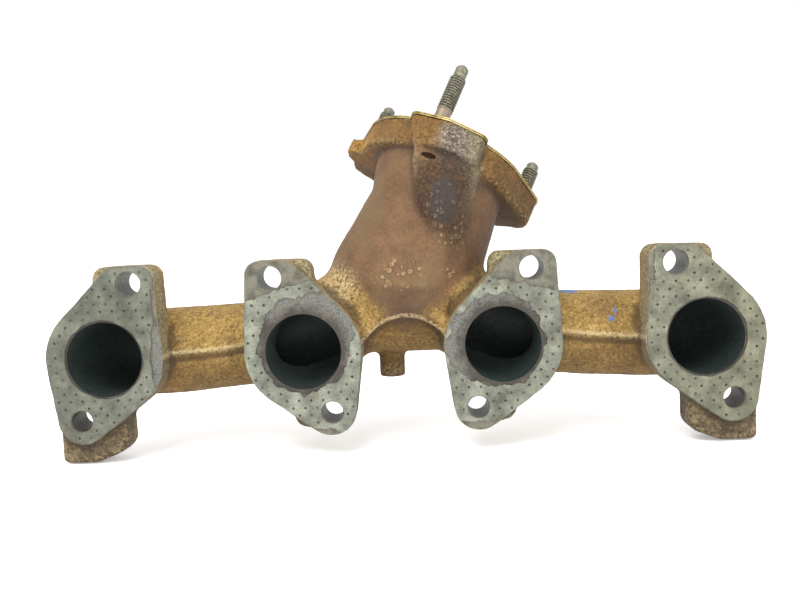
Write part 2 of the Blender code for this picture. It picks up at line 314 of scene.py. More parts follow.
def rusty_iron(settings):
    """Sand-cast skin: golden rust on the runners, smoother brown scale on the hot neck."""
    skin = Finish("rusty_cast_iron")
    skin.fine = skin.grain(1.5, 3.0, 0.65)
    skin.speckle = skin.grain(0.75, 4.0, 0.7)
    skin.blotch = skin.grain(0.12, 4.0, 0.6)
    skin.wide = skin.grain(0.035, 3.0, 0.55)
    skin.hollow = skin.add("ShaderNodeAttribute", attribute_name="hollow", out="Fac")
    skin.aside = (skin.x - 2.0).calc("ABSOLUTE")

    gold = Vector(settings.rust)
    rust = skin.ramp(skin.speckle * 0.7 + skin.blotch * 0.3, (0.34, gold * 0.26),
                     (0.44, gold * 0.66), (0.53, gold),
                     (0.66, gold * 1.3 + Vector((0.12, 0.11, 0.07))))
    brown = skin.ramp(skin.speckle, (0.35, (0.045, 0.020, 0.008)), (0.62, (0.17, 0.085, 0.033)))
    mottled = skin.rise(skin.wide * 0.7 + skin.blotch * 0.3, 0.50, 0.62)
    colour = skin.mix(mottled * 0.5, rust, brown)

    colour, on_neck = neck_scale(skin, colour, Vector(settings.heat))
    colour, above, block = outlet_rust(skin, colour, rust)
    dark = skin.ramp(skin.speckle, (0.35, (0.018, 0.008, 0.003)), (0.5, (0.050, 0.022, 0.007)),
                     (0.64, (0.11, 0.055, 0.018)))
    colour, web, gloss = web_rust(skin, colour, dark)
    colour = flange_dirt(skin, colour, dark)
    colour = parting_line(skin, colour)
    colour = painted_shade_highlights_and_chips(skin, colour, web)
    colour, blister, rim = blisters(skin, colour, web)
    colour = painted_lip_highlight(skin, colour)
    colour = blue_specks(skin, colour)

    smooth = on_neck * (1 - web) * (1 - above)
    roughness = 0.86 - smooth * 0.16 - gloss * 0.42 - rim * 0.4 - block * 0.25
    relief = (skin.fine - 0.5) * (0.38 - smooth * 0.2)
    relief = relief + (skin.speckle - 0.5) * (0.6 - smooth * 0.4)
    relief = relief + (skin.blotch - 0.5) * 0.5 + blister * 0.6
    return skin.paint(colour, roughness, block * 0.35, relief, 0.9)


def neck_scale(skin, colour, heat):
    """Scale on the neck, down to the lip between the ports, with golden skirts at either side."""
    climb = skin.z + (skin.blotch - 0.5) * 22 + (skin.wide - 0.5) * 16 - (skin.aside - 9) * 0.75
    on_neck = skin.rise(climb, 9.0, 20.0)
    scale_tone = skin.ramp(skin.speckle * 0.55 + skin.blotch * 0.45, (0.36, heat * 0.66),
                           (0.5, heat), (0.64, heat * 1.35))
    greenish = skin.mix(skin.rise(skin.wide, 0.45, 0.6) * 0.5, scale_tone, (0.15, 0.10, 0.04))
    colour = skin.mix(on_neck, colour, greenish)
    pale = skin.near((-28.0, 20.0, 26.0), (11.0, 16.0, 10.0), 0.6)
    pale = pale * skin.rise(skin.speckle, 0.42, 0.58)
    return skin.mix(pale * 0.8, colour, (0.62, 0.47, 0.26)), on_neck


def outlet_rust(skin, colour, rust):
    """Outlet plate and its front block: ochre to the left, silvery grey-brown to the right."""
    height = skin.x * UP.x + skin.y * UP.y + skin.z * UP.z - OUTLET_CENTRE.dot(UP)
    above = skin.rise(height + (skin.blotch - 0.5) * 3, -OUTLET_DEPTH - 1.5, -OUTLET_DEPTH + 0.5)
    ochre = skin.mix(1.0, rust, (0.50, 0.40, 0.25), "MULTIPLY")
    colour = skin.mix(above * 0.85, colour, ochre)
    left_ear = skin.near((-22.0, 50.0, 92.0), (16.0, 26.0, 13.0), 0.4) * above
    bright = skin.mix(1.0, rust, (0.95, 0.78, 0.45), "MULTIPLY")
    colour = skin.mix(left_ear * 0.85, colour, bright)
    block = skin.near((30.0, 4.0, 87.0), (12.0, 9.0, 12.0), 0.3)
    silver = skin.ramp(skin.grain(0.9, 4.0, 0.75), (0.38, (0.05, 0.038, 0.026)),
                       (0.5, (0.125, 0.10, 0.075)), (0.60, (0.36, 0.34, 0.30)))
    return skin.mix(block * 0.85, colour, silver), above, block


def web_rust(skin, colour, dark):
    """Web under the block: rough brown, with one glossy dark patch."""
    web = skin.near((20.0, -1.0, 66.0), (18.0, 10.5, 20.0), 0.25)
    lower_web = skin.near((26.0, 6.0, 54.0), (8.0, 12.0, 13.0), 0.4) * 0.8
    web = lower_web.calc("MAXIMUM", web)
    colour = skin.mix(web * 0.9, colour, dark)
    gloss = skin.near((20.3, 3.0, 63.5), (6.0, 8.0, 10.0), 0.3)
    return skin.mix(gloss * 0.85, colour, (0.034, 0.022, 0.019)), web, gloss


def flange_dirt(skin, colour, dark):
    """Olive on the sides of the flanges, dirty brown on the lugs and the peg."""
    foot_of_neck = skin.rise(skin.aside, 38.0, 24.0) * skin.rise(skin.z, 2, 8)
    flank = skin.rise(skin.y, 13.0, 10.0) * (1 - foot_of_neck)
    olive = skin.ramp(skin.speckle, (0.36, (0.07, 0.055, 0.028)), (0.5, (0.20, 0.175, 0.095)),
                      (0.64, (0.34, 0.31, 0.19)))
    colour = skin.mix(flank * 0.8, colour, olive)
    low = skin.rise(skin.z + (skin.blotch - 0.5) * 8, -17.0, -25.0)
    dirt = skin.ramp(skin.speckle * 0.6 + skin.blotch * 0.4, (0.38, (0.030, 0.020, 0.010)),
                     (0.5, (0.095, 0.064, 0.030)), (0.62, (0.19, 0.145, 0.08)))
    colour = skin.mix(low * 0.9, colour, dirt)
    peg = skin.near((-6.0, 31.0, -15.0), (9.0, 9.0, 11.0), 0.15)
    return skin.mix(peg * 0.75, colour, dark)


def parting_line(skin, colour):
    """Mould's parting line along the runners, with a painted highlight on its crest and a painted shadow
    underneath.
    """
    along = (112.0 - skin.aside) / 50.0
    off_line = skin.z + 0.5 - along * along * 4.5
    on_runner = skin.rise(skin.aside, 56.0, 62.0) * skin.rise(skin.aside, 114.0, 110.0)
    on_runner = on_runner * skin.rise(skin.y, 24.0, 20.0)
    # painted highlight along the crest of the ridge
    crest = skin.rise((off_line - 0.6).calc("ABSOLUTE"), 1.5, 0.3) * on_runner
    crest = crest * skin.rise(skin.fine, 0.36, 0.52)
    # painted shadow along the foot of the ridge, under it
    foot = skin.rise((off_line + 2.6).calc("ABSOLUTE"), 2.2, 0.4) * on_runner
    colour = skin.mix(foot * 0.6, colour, (0.10, 0.055, 0.018))
    return skin.mix(crest * 0.6, colour, (0.66, 0.50, 0.27))


def painted_shade_highlights_and_chips(skin, colour, web):
    """Painted shade on undersides and in hollows, painted highlights on edges, chips with painted
    highlights on the flange rims.
    """
    # painted shade on faces that look down
    under = skin.rise(skin.facing_z * -1, -0.15, 0.40)
    colour = skin.mix(under * 0.62, colour, (0.33, 0.26, 0.20), "MULTIPLY")
    # painted shade in the hollows
    painted_hollow_shade = skin.rise(skin.hollow, 0.54, 0.78)
    colour = skin.mix(painted_hollow_shade * 0.7, colour, (0.04, 0.02, 0.009))
    # painted highlight on the edges
    edge = skin.rise(skin.hollow, 0.42, 0.25) * skin.rise(skin.speckle, 0.42, 0.6) * (1 - web)
    colour = skin.mix(edge * 0.2, colour, (0.5, 0.38, 0.20))
    # chips on the rims of the flanges, together with a painted highlight along those rims
    chips_and_rim_highlight = skin.rise(skin.hollow, 0.42, 0.30) * skin.rise(skin.y, 2.5, 1.0)
    chips_and_rim_highlight = chips_and_rim_highlight * skin.rise(skin.fine, 0.40, 0.55)
    chips_and_rim_highlight = chips_and_rim_highlight * skin.rise(skin.aside, 36.0, 42.0) * skin.rise(skin.z, -24.0, -20.0)
    return skin.mix(chips_and_rim_highlight * 0.6, colour, (0.55, 0.51, 0.41))


def blisters(skin, colour, web):
    """Blisters of scale, in clusters on the neck and the web."""
    clusters = 0.0
    for centre, radius in (((0.0, 1.5, 33.0), 7.0), ((5.0, 2.0, 34.5), 5.0),
                           ((-9.0, 1.0, 30.0), 4.0), ((4.5, 3.8, 57.0), 3.0),
                           ((20.0, 2.5, 62.0), 9.0), ((24.0, 7.0, 51.0), 8.0),
                           ((22.5, 7.5, 31.5), 3.0)):
        clusters = skin.near(centre, (radius,) * 3, 0.3).calc("MAXIMUM", clusters)
    cell = skin.add("ShaderNodeTexVoronoi", {"Vector": skin.place, "Scale": 0.32})
    cell = cell + (skin.fine - 0.5) * 0.5 + (skin.blotch - 0.5) * 0.7
    blister = (1 - skin.rise(cell, 0.26, 0.44)) * clusters
    rim = skin.rise(cell, 0.10, 0.24) * (1 - skin.rise(cell, 0.28, 0.42)) * clusters
    rim = rim * skin.rise(skin.fine, 0.42, 0.6)
    colour = skin.mix(blister * (1 - web) * 0.6, colour, (0.24, 0.13, 0.035))
    return skin.mix(rim * (1 - web * 0.5) * 0.5, colour, (0.50, 0.38, 0.24)), blister, rim


def painted_lip_highlight(skin, colour):
    """Painted highlight along the edge of the lip over the hollow between the middle ports."""
    above_lip = skin.z - lip_height(skin.x) - 0.7
    lip = skin.rise(above_lip.calc("ABSOLUTE"), 1.9, 0.5) * skin.rise(skin.y, 9.5, 8.0)
    lip = lip * skin.rise(skin.aside, 22.0, 18.0) * skin.rise(skin.speckle, 0.36, 0.54)
    return skin.mix(lip * 0.65, colour, (0.50, 0.37, 0.21))


def blue_specks(skin, colour):
    """A few specks of blue paint on the right runner."""
    for centre, radii in (((78.0, 32.0, 19.4), (4.0, 5.0, 1.3)),
                          ((94.4, 15.3, 7.7), (1.2, 3.0, 1.3)),
                          ((96.6, 17.2, 11.0), (0.6, 3.0, 1.3))):
        speck = skin.near(centre, radii, 0.5) * skin.rise(skin.fine, 0.36, 0.5)
        colour = skin.mix(speck * 0.9, colour, (0.05, 0.19, 0.50))
    return colour


def machined_iron():
    """Milled port and outlet faces, stained by what leaked past the gaskets."""
    skin = Finish("machined_iron")
    fine = skin.grain(1.3, 3.0, 0.7)
    cloud = skin.grain(0.16, 4.0, 0.65)
    # distance from the nearest port's middle
    beside = (skin.x - PORT_PITCH / 2).calc("WRAP", PORT_PITCH / 2, -PORT_PITCH / 2)
    away = (beside * beside + skin.z * skin.z).calc("SQRT")
    colour = skin.ramp(cloud * 0.7 + fine * 0.3, (0.34, (0.05, 0.05, 0.038)),
                       (0.48, (0.12, 0.113, 0.08)), (0.6, (0.21, 0.20, 0.155)))
    bare = skin.ramp(fine, (0.35, (0.06, 0.062, 0.06)), (0.65, (0.22, 0.215, 0.195)))
    colour = skin.mix(skin.rise(away, 30.0, 23.0) * 0.75, colour, bare)
    burnt = skin.rise(away + (cloud - 0.5) * 14, 23.5, 17.0)
    colour = skin.mix(burnt * 0.85, colour, (0.03, 0.022, 0.015))
    stain = skin.rise(cloud, 0.53, 0.64) * skin.rise(fine, 0.4, 0.6)
    colour = skin.mix(stain * 0.7, colour, (0.09, 0.05, 0.022))
    return skin.paint(colour, 0.62 - cloud * 0.2, 0.25, (fine - 0.5) * 0.12 + (cloud - 0.5) * 0.3)


def drilled_iron():
    """Walls of the bolt holes, grey above and brown in the lower ones."""
    skin = Finish("drilled_iron")
    fine = skin.grain(0.9, 3.0, 0.7)
    colour = skin.ramp(fine, (0.35, (0.05, 0.05, 0.042)), (0.6, (0.17, 0.17, 0.145)))
    colour = skin.mix(skin.rise(skin.z, 0.0, -10.0) * 0.75, colour, (0.045, 0.032, 0.02))
    return skin.paint(colour, 0.5, 0.4, (fine - 0.5) * 0.15)


def soot():
    """Passage walls, black with soot."""
    skin = Finish("soot")
    fine = skin.grain(0.6, 4.0, 0.7)
    speck = skin.rise(skin.grain(1.1, 2.0, 0.6), 0.7, 0.74)
    colour = skin.ramp(fine, (0.35, (0.015, 0.022, 0.020)), (0.65, (0.036, 0.052, 0.047)))
    colour = skin.mix(speck * 0.35, colour, (0.25, 0.26, 0.22))
    return skin.paint(colour, 0.42 + fine * 0.2, None, (fine - 0.5) * 0.3)


def gasket_facing(settings):
    """Baked grey-green facing of the port gaskets."""
    skin = Finish("gasket_facing")
    base = Vector(settings.facing)
    fine = skin.grain(1.1, 4.0, 0.75)
    cloud = skin.grain(0.11, 5.0, 0.6)
    colour = skin.ramp(cloud * 0.75 + fine * 0.25, (0.36, base * 0.42), (0.45, base * 0.75),
                       (0.53, base), (0.62, base * 1.45))
    # the two end gaskets are dirtier than the middle ones
    tone = skin.ramp(skin.x / (4 * PORT_PITCH) + 0.5, (0.1, (0.56,) * 3), (0.3, (0.96, 0.96, 1.0)),
                     (0.45, (0.96, 0.96, 1.0)), (0.7, (0.82,) * 3), (0.9, (0.72, 0.68, 0.60)))
    grimy = skin.near((-122.0, -1.0, 24.0), (26.0, 9.0, 14.0), 0.5)
    tone = skin.mix(grimy * 0.5, tone, (0.35, 0.35, 0.33))
    colour = skin.mix(1.0, colour, tone, "MULTIPLY")
    stain = skin.rise(skin.grain(0.2, 4.0, 0.7), 0.56, 0.68)
    colour = skin.mix(stain * 0.55, colour, (0.10, 0.068, 0.035))
    side = skin.rise(skin.facing_y, -0.8, -0.3)
    colour = skin.mix(side * 0.5, colour, (0.20, 0.18, 0.13))
    pock = skin.rise(fine, 0.38, 0.30)
    colour = skin.mix(pock * 0.5, colour, (0.06, 0.055, 0.045))
    return skin.paint(colour, 0.55 + fine * 0.25, None,
                      (fine - 0.5) * 0.16 + (cloud - 0.5) * 0.5 - pock * 0.08)


def pinhole_dark():
    """Dark bottom of a perforation."""
    skin = Finish("pinhole_dark", roughness=0.8)
    return skin.paint(skin.ramp(skin.grain(0.3), (0.4, (0.02, 0.018, 0.014)),
                                (0.6, (0.07, 0.065, 0.05))))


def stud_steel():
    """Zinc-plated stud, olive grey with darker thread roots and a brown shank."""
    skin = Finish("stud_steel")
    fine = skin.grain(1.0, 3.0, 0.7)
    hollow = skin.add("ShaderNodeAttribute", attribute_name="hollow", out="Fac")
    colour = skin.ramp(fine, (0.35, (0.08, 0.07, 0.045)), (0.5, (0.17, 0.16, 0.115)),
                       (0.65, (0.27, 0.26, 0.20)))
    colour = skin.mix(skin.rise(hollow, 0.5, 0.9) * 0.9, colour, (0.02, 0.016, 0.011))
    shank = skin.add("ShaderNodeAttribute", attribute_name="shank", out="Fac")
    colour = skin.mix(shank * 0.8, colour, (0.25, 0.19, 0.13))
    return skin.paint(colour, 0.38 + fine * 0.3, 0.65, (fine - 0.5) * 0.08)


def golden_sheet():
    """Layered metal outlet gasket, gone olive gold with heat."""
    skin = Finish("golden_sheet")
    fine = skin.grain(0.8, 3.0, 0.7)
    cloud = skin.grain(0.09, 3.0, 0.6)
    colour = skin.ramp(cloud * 0.6 + fine * 0.4, (0.36, (0.11, 0.075, 0.03)),
                       (0.5, (0.36, 0.27, 0.10)), (0.64, (0.52, 0.43, 0.2)))
    return skin.paint(colour, 0.3 + fine * 0.3, 0.75, (fine - 0.5) * 0.1)


# ------------------------------------------------------------------ outlines

def lip_height(x):
    """Height of the arched lip between the middle ports, for a number or a wire."""
    off = x - LIP_MIDDLE
    return LIP_TOP - LIP_CURVE * off * off


def bolt_holes(port):
    """The two bolt holes beside a port, each as (x, z, radius)."""
    return [(PORT_X[port] + PORT_SIDE[port] * u, z, radius)
            for u, z, radius in (EAR_HOLE, TOE_HOLE)]


def limited(value):
    """A number kept between 0 and 1."""
    return min(max(value, 0.0), 1.0)


def hull(points):
    """Convex outline round 2D points, counter-clockwise."""
    points = sorted(set(points))

    def half(ordered):
        chain = []
        for p in ordered:
            while len(chain) > 1:
                (ax, ay), (bx, by) = chain[-2], chain[-1]
                if (bx - ax) * (p[1] - ay) - (by - ay) * (p[0] - ax) > 1e-7:
                    break
                chain.pop()
            chain.append(p)
        return chain[:-1]

    return half(points) + half(points[::-1])


def disc_hull(discs, sides=64):
    """Outline of a band stretched round discs, each (x, y, radius)."""
    points = []
    for x, y, radius in discs:
        for index in range(sides):
            angle = 2 * math.pi * (index + 0.5) / sides
            points.append((round(x + radius * math.cos(angle), 4),
                           round(y + radius * math.sin(angle), 4)))
    return hull(points)


def reach(outline, angle):
    """How far a ray from the middle goes before it leaves a convex outline."""
    dx, dy = math.cos(angle), math.sin(angle)
    best = float("inf")
    for (ax, ay), (bx, by) in zip(outline, outline[1:] + outline[:1]):
        nx, ny = by - ay, ax - bx
        slope = nx * dx + ny * dy
        if slope > 1e-9:
            best = min(best, (nx * ax + ny * ay) / slope)
    return best


def port_outline(grow=0.0):
    """Diamond port flange, with its ear to the right."""
    return disc_hull([(0.0, 0.0, 25.9 + grow), (-11.4, -26.6, 11.0 + grow),
                      (18.3, 35.0, 5.6 + grow), (6.2, 36.6, 4.0 + grow)])


def outlet_outline(inset=0.0):
    """Plate round the outlet: a disc, two rear ears and the square ear of the front stud."""
    plate = disc_hull([(0.5, -8.0, 39.5 - inset), (35.4, -19.5, 11.5 - inset),
                       (-35.5, -18.5, 10.2 - inset)])
    front = disc_hull([(0.0, 0.0, 10.0), (-7.4, 31.6, 5.0 - inset), (17.6, 29.4, 5.0 - inset),
                       (5.5, 31.6, 7.0 - inset)])
    points = []
    for index in range(160):
        angle = 2 * math.pi * index / 160
        radius = max(reach(plate, angle), reach(front, angle))
        points.append((radius * math.cos(angle), radius * math.sin(angle)))
    return points


def ragged(outline, step, amount, seed):
    """Outline cut into short steps and pushed in and out from its middle, like a torn edge."""
    middle_x = sum(x for x, _ in outline) / len(outline)
    middle_y = sum(y for _, y in outline) / len(outline)
    points = []
    for (ax, ay), (bx, by) in zip(outline, outline[1:] + outline[:1]):
        count = max(1, round(math.hypot(bx - ax, by - ay) / step))
        for index in range(count):
            t = index / count
            x, y = ax + (bx - ax) * t, ay + (by - ay) * t
            push = noise.noise(Vector((x * 0.22, y * 0.22, seed)))
            push += 0.6 * noise.noise(Vector((x * 0.7, y * 0.7, seed + 7.0)))
            scale = 1 + amount * push / math.hypot(x - middle_x, y - middle_y)
            points.append((middle_x + (x - middle_x) * scale, middle_y + (y - middle_y) * scale))
    return points


def lobes(radii):
    """Closed outline from (degrees, radius) pairs round the middle."""
    return [(radius * math.cos(math.radians(angle)), radius * math.sin(math.radians(angle)))
            for angle, radius in radii]


# ------------------------------------------------------------------ solids

def outlet_axes():
    """Right, front and up directions of the sealing face."""
    up = Vector((math.sin(OUTLET_LEAN) * math.cos(OUTLET_TILT), math.sin(OUTLET_TILT),
                 math.cos(OUTLET_LEAN) * math.cos(OUTLET_TILT)))
    front = Vector((0.0, -1.0, 0.0))
    front = (front - up * front.dot(up)).normalized()
    right = up.cross(front)
    cos, sin = math.cos(OUTLET_SPIN), math.sin(OUTLET_SPIN)
    return right * cos - front * sin, front * cos + right * sin, up


RIGHT, FRONT, UP = outlet_axes()
OUTLET_FRAME = Matrix.Translation(OUTLET_CENTRE) @ Matrix((RIGHT, FRONT, UP)).transposed().to_4x4()


def on_outlet(a, b, height):
    """Point of the outlet's own frame: a to the right, b to the front, height above the face."""
    return OUTLET_CENTRE + RIGHT * a + FRONT * b + UP * height


def placed(name, mesh, material=None):
    """Object made of a bmesh, with its faces turned outwards."""
    bmesh.ops.recalc_face_normals(mesh, faces=mesh.faces)
    data = bpy.data.meshes.new(name)
    mesh.to_mesh(data)
    mesh.free()
    if material:
        data.materials.append(material)
    thing = bpy.data.objects.new(name, data)
    bpy.context.scene.collection.objects.link(thing)
    return thing


def solid(name, rings, material=None):
    """Closed solid through rings of points that all have the same count."""
    mesh = bmesh.new()
    loops = [[mesh.verts.new(point) for point in ring] for ring in rings]
    for lower, upper in zip(loops, loops[1:]):
        for index in range(len(lower)):
            after = (index + 1) % len(lower)
            mesh.faces.new((lower[index], lower[after], upper[after], upper[index]))
    mesh.faces.new(loops[0][::-1])
    mesh.faces.new(loops[-1])
    return placed(name, mesh, material)


def port_prism(name, outline, port, near, far, material=None, side=None):
    """Outline in the plane of a port, turned to that port's hand, between two depths."""
    side = PORT_SIDE[port] if side is None else side
    return solid(name, [[Vector((PORT_X[port] + side * u, depth, z)) for u, z in outline]
                        for depth in (near, far)], material)


def outlet_prism(name, outline, low, high, material=None):
    return solid(name, [[on_outlet(a, b, height) for a, b in outline] for height in (low, high)],
                 material)


def circle(centre, axis, radius, sides):
    """Ring of points round a centre, square to an axis."""
    axis = axis.normalized()
    helper = Vector((0, 1, 0)) if abs(axis.y) < 0.8 else Vector((0, 0, 1))
    first = axis.cross(helper).normalized()
    second = axis.cross(first)
    points = []
    for index in range(sides):
        angle = 2 * math.pi * index / sides
        points.append(centre + (first * math.cos(angle) + second * math.sin(angle)) * radius)
    return points


def rod(name, start, end, radius, sides=40, material=None):
    axis = end - start
    return solid(name, [circle(start, axis, radius, sides), circle(end, axis, radius, sides)],
                 material)


def pipe(name, path, radii, sides=40, material=None):
    """Round tube along a smooth curve through the path's points."""
    centres = []
    widths = []
    last = len(path) - 1
    for index in range(last):
        before, start = path[max(index - 1, 0)], path[index]
        end, after = path[index + 1], path[min(index + 2, last)]
        for step in range(4):
            t = step / 4
            centres.append(0.5 * (2 * start + (end - before) * t
                                  + (2 * before - 5 * start + 4 * end - after) * t * t
                                  + (3 * start - before - 3 * end + after) * t ** 3))
            widths.append(radii[index] + (radii[index + 1] - radii[index]) * t)
    centres.append(path[-1])
    widths.append(radii[-1])
    rings = []
    for index, centre in enumerate(centres):
        axis = centres[min(index + 1, len(centres) - 1)] - centres[max(index - 1, 0)]
        rings.append((centre, axis.normalized(), widths[index]))
    first = rings[0][1].orthogonal().normalized()
    loops = []
    for centre, axis, width in rings:
        first = (first - axis * first.dot(axis)).normalized()
        second = axis.cross(first)
        loops.append([centre + (first * math.cos(angle) + second * math.sin(angle)) * width
                      for angle in (2 * math.pi * k / sides for k in range(sides))])
    return solid(name, loops, material)


def settled(thing):
    """Apply the object's modifiers to its mesh."""
    graph = bpy.context.evaluated_depsgraph_get()
    data = bpy.data.meshes.new_from_object(thing.evaluated_get(graph))
    thing.modifiers.clear()
    thing.data = data
    return thing


def combine(body, tools, operation, overlap=False):
    """Run exact Booleans on body with each tool, keep the result in body, drop the tools."""
    for tool in tools:
        cut = body.modifiers.new(operation, "BOOLEAN")
        cut.operation = operation
        cut.solver = "EXACT"
        cut.material_mode = "TRANSFER"
        cut.use_self = overlap
        cut.object = tool
        settled(body)
        bpy.data.objects.remove(tool)
    return body


def joined(name, things):
    """One object that holds the meshes of several."""
    mesh = bmesh.new()
    for thing in things:
        mesh.from_mesh(thing.data)
        bpy.data.objects.remove(thing)
    return placed(name, mesh)


def cad_copy(node):
    """Copy of a CAD node's mesh in millimetres, with its loose triangles joined up."""
    mesh = bmesh.new()
    mesh.from_mesh(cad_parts[node].data)
    bmesh.ops.remove_doubles(mesh, verts=mesh.verts, dist=1e-6)
    mesh.transform(TO_ROW_FRAME.inverted())
    return placed(node + " copy", mesh)


# ------------------------------------------------------------------ Geometry Nodes

def new_tree(name, inputs):
    """Geometry tree with a geometry input and named inputs. Returns its graph and its wires."""
    tree = bpy.data.node_groups.new(name, "GeometryNodeTree")
    tree.interface.new_socket("Geometry", in_out="INPUT", socket_type="NodeSocketGeometry")
    tree.interface.new_socket("Geometry", in_out="OUTPUT", socket_type="NodeSocketGeometry")
    for key, kind in inputs.items():
        tree.interface.new_socket(key, in_out="INPUT", socket_type=kind)
    graph = Graph(tree)
    node = graph.add("NodeGroupInput").socket.node
    return graph, {socket.name: Wire(graph, socket) for socket in node.outputs if socket.name}


def end_tree(graph, geometry):
    graph.add("NodeGroupOutput", [geometry])


def grown(thing, tree, **values):
    """Run a tree on an object with its inputs set, and keep the result as a plain mesh."""
    run = thing.modifiers.new(tree.name, "NODES")
    run.node_group = tree
    identifiers = {item.name: item.identifier for item in tree.interface.items_tree
                   if item.in_out == "INPUT"}
    for key, value in values.items():
        run[identifiers[key.replace("_", " ").capitalize()]] = value
    return settled(thing)


def skin_tree():
    """Pushes a mesh in and out, as sand moulds leave it."""
    graph, given = new_tree("cast_skin", {"Wave": "NodeSocketFloat", "Finish": "NodeSocketMaterial"})
    place = graph.add("GeometryNodeInputPosition")
    normal = graph.add("GeometryNodeInputNormal")
    slow = graph.noise(place, 0.045, 2.0, 0.5) - 0.5
    quick = graph.noise(place, 0.32, 2.0, 0.5) - 0.5
    push = (slow * 2.2 + quick * 0.9) * given["Wave"]
    offset = graph.vector("SCALE", normal)
    graph.feed(offset.socket.node.inputs["Scale"], push)
    moved = graph.add("GeometryNodeSetPosition", {"Geometry": given["Geometry"], "Offset": offset})
    whole = graph.add("GeometryNodeRealizeInstances", [moved])
    end_tree(graph, graph.add("GeometryNodeSetMaterial",
                              {"Geometry": whole, "Material": given["Finish"]}))
    return graph.tree


def perforation_tree():
    """Adds staggered rows of perforations to the front of a flat sheet that faces -Y."""
    numbers = ("Pitch", "Row", "Radius", "Middle", "Front")
    graph, given = new_tree("perforations", {**{key: "NodeSocketFloat" for key in numbers},
                                             "Facing": "NodeSocketMaterial",
                                             "Dark": "NodeSocketMaterial"})
    across, up = 14, 30
    grid = graph.add("GeometryNodeMeshGrid", {"Size X": given["Pitch"] * (across - 1),
                                              "Size Y": given["Row"] * (up - 1),
                                              "Vertices X": across, "Vertices Y": up})
    x, y, _ = graph.axes(graph.add("GeometryNodeInputPosition"))
    row = (y / given["Row"] + 0.5 * (up - 1)).calc("ROUND")
    stagger = row.calc("MODULO", 2.0) * 0.5 * given["Pitch"]
    place = graph.add("ShaderNodeCombineXYZ", [x + stagger + given["Middle"], given["Front"], y])
    points = graph.add("GeometryNodeSetPosition", {"Geometry": grid, "Position": place})
    # a perforation stays where the sheet lies under the whole of it
    keep = 1.0
    for dx, dz in ((1.3, 0.0), (-1.3, 0.0), (0.0, 1.3), (0.0, -1.3)):
        start = graph.vector("ADD", graph.add("GeometryNodeInputPosition"), (dx, -2.0, dz))
        hit = graph.add("GeometryNodeRaycast", {"Target Geometry": given["Geometry"],
                                                "Source Position": start,
                                                "Ray Direction": (0.0, 1.0, 0.0),
                                                "Ray Length": 2.2})
        keep = hit * keep
    kept = graph.add("GeometryNodeSeparateGeometry", {"Geometry": points, "Selection": keep},
                     domain="POINT")
    lip = graph.add("GeometryNodeMeshCone", {"Vertices": 8, "Radius Top": given["Radius"],
                                             "Radius Bottom": given["Radius"] * 1.7, "Depth": 0.1},
                    fill_type="NONE")
    lip = graph.add("GeometryNodeSetMaterial", {"Geometry": lip, "Material": given["Facing"]})
    floor = graph.add("GeometryNodeMeshCircle", {"Vertices": 8, "Radius": given["Radius"]},
                      fill_type="NGON")
    floor = graph.add("GeometryNodeTransform", {"Geometry": floor, "Translation": (0.0, 0.0, 0.07)})
    floor = graph.add("GeometryNodeSetMaterial", {"Geometry": floor, "Material": given["Dark"]})
    dot = graph.add("GeometryNodeJoinGeometry")
    for part in (lip, floor):
        graph.tree.links.new(part.socket, dot.socket.node.inputs[0])
    dots = graph.add("GeometryNodeInstanceOnPoints",
                     {"Points": kept, "Instance": dot, "Rotation": (math.radians(90), 0.0, 0.0)})
    dots = graph.add("GeometryNodeRealizeInstances", [dots])
    both = graph.add("GeometryNodeJoinGeometry")
    for part in (given["Geometry"], dots):
        graph.tree.links.new(part.socket, both.socket.node.inputs[0])
    end_tree(graph, both)
    return graph.tree


